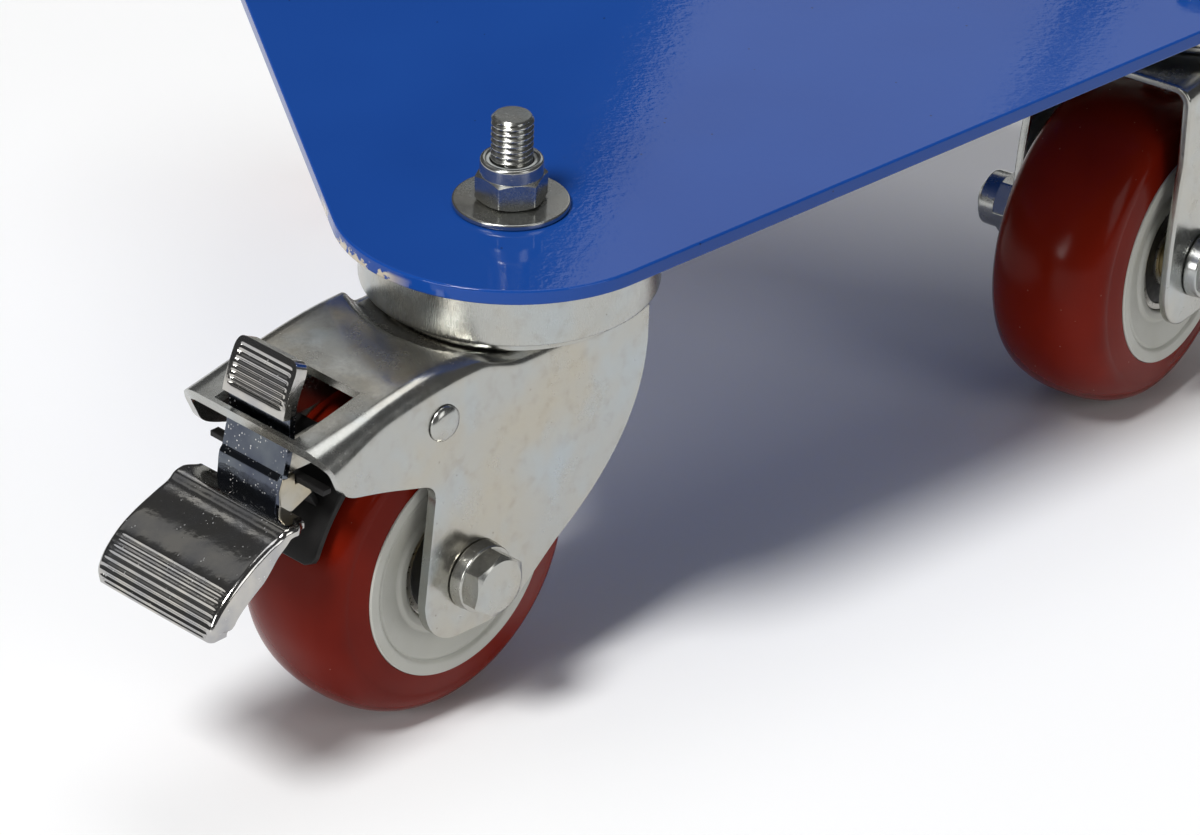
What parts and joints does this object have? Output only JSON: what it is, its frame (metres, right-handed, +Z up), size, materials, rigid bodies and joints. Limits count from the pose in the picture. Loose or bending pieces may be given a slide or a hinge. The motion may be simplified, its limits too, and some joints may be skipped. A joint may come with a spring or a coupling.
{
  "type": "triangular three-wheel dolly",
  "caption": "Triangular steel plate dolly with rounded corners on swivel stem casters, one with a foot-pedal total-lock brake and release tab.",
  "frame": {"origin": "centre of the deck plate, the centroid of the triangle, on its top face", "axes": "+Z up, square to the deck; -Y points from the centre to the corner with the braked caster"},
  "size_m": [0.3792, 0.4211, 0.1679],
  "materials": {
    "deck_paint": "gloss blue powder coat",
    "zinc_plate": "bright zinc plate, faint yellow and blue tint",
    "chrome_plate": "mirror chrome",
    "black_steel": "black oxide",
    "hub_plastic": "light grey moulded",
    "tyre_urethane": "gloss maroon polyurethane",
    "bearing_steel": "ground steel"
  },
  "bodies": {
    "deck": {"deck_plate": "deck_paint", "front_king_bolt": "zinc_plate", "front_deck_washer": "zinc_plate", "front_stem_nut": "zinc_plate", "front_raceway_cup": "zinc_plate", "front_swivel_lock_ring": "zinc_plate", "right_king_bolt": "zinc_plate", "right_deck_washer": "zinc_plate", "right_stem_nut": "zinc_plate", "right_raceway_cup": "zinc_plate", "right_swivel_cone": "zinc_plate", "left_king_bolt": "zinc_plate", "left_deck_washer": "zinc_plate", "left_stem_nut": "zinc_plate", "left_raceway_cup": "zinc_plate", "left_swivel_cone": "zinc_plate"},
    "front_swivel": {"front_fork": "zinc_plate", "front_fork_race": "zinc_plate", "front_upper_ball_cage": "bearing_steel", "front_lower_ball_cage": "bearing_steel", "front_axle_bolt": "zinc_plate", "front_axle_nut": "zinc_plate", "front_axle_sleeve": "zinc_plate", "front_brake_pin": "zinc_plate", "front_brake_spring": "black_steel"},
    "front_wheel": {"front_hub": "hub_plastic", "front_tyre": "tyre_urethane", "front_bearing_head_side": "bearing_steel", "front_bearing_nut_side": "bearing_steel"},
    "front_brake": {"front_brake_pedal": "chrome_plate", "front_brake_shoe": "black_steel", "front_lock_bar": "black_steel"},
    "right_swivel": {"right_fork": "zinc_plate", "right_fork_race": "zinc_plate", "right_upper_ball_cage": "bearing_steel", "right_lower_ball_cage": "bearing_steel", "right_axle_bolt": "zinc_plate", "right_axle_nut": "zinc_plate", "right_axle_sleeve": "zinc_plate"},
    "right_wheel": {"right_hub": "hub_plastic", "right_tyre": "tyre_urethane", "right_bearing_head_side": "bearing_steel", "right_bearing_nut_side": "bearing_steel"},
    "left_swivel": {"left_fork": "zinc_plate", "left_fork_race": "zinc_plate", "left_upper_ball_cage": "bearing_steel", "left_lower_ball_cage": "bearing_steel", "left_axle_bolt": "zinc_plate", "left_axle_nut": "zinc_plate", "left_axle_sleeve": "zinc_plate"},
    "left_wheel": {"left_hub": "hub_plastic", "left_tyre": "tyre_urethane", "left_bearing_head_side": "bearing_steel", "left_bearing_nut_side": "bearing_steel"}
  },
  "joints": [
    {"name": "front_swivel_turn", "type": "hinge", "parent": "deck", "child": "front_swivel", "pos_m": [0, -0.16131, 0], "axis": [0, 0, 1], "continuous": true},
    {"name": "front_wheel_spin", "type": "hinge", "parent": "front_swivel", "child": "front_wheel", "pos_m": [-0.01798, -0.19615, -0.0902], "axis": [0.8886, -0.4587, 0], "continuous": true},
    {"name": "front_brake_pedal_tilt", "type": "hinge", "parent": "front_swivel", "child": "front_brake", "pos_m": [-0.02399, -0.20779, -0.0372], "axis": [-0.8886, 0.4587, 0], "range_deg": [0, 7]},
    {"name": "right_swivel_turn", "type": "hinge", "parent": "deck", "child": "right_swivel", "pos_m": [0.1397, 0.08066, 0], "axis": [0, 0, 1], "continuous": true},
    {"name": "right_wheel_spin", "type": "hinge", "parent": "right_swivel", "child": "right_wheel", "pos_m": [0.1287, 0.04303, -0.0902], "axis": [0.9598, -0.2807, 0], "continuous": true},
    {"name": "left_swivel_turn", "type": "hinge", "parent": "deck", "child": "left_swivel", "pos_m": [-0.1397, 0.08066, 0], "axis": [0, 0, 1], "continuous": true},
    {"name": "left_wheel_spin", "type": "hinge", "parent": "left_swivel", "child": "left_wheel", "pos_m": [-0.1011, 0.08746, -0.0902], "axis": [-0.1736, 0.9848, 0], "continuous": true}
  ]
}
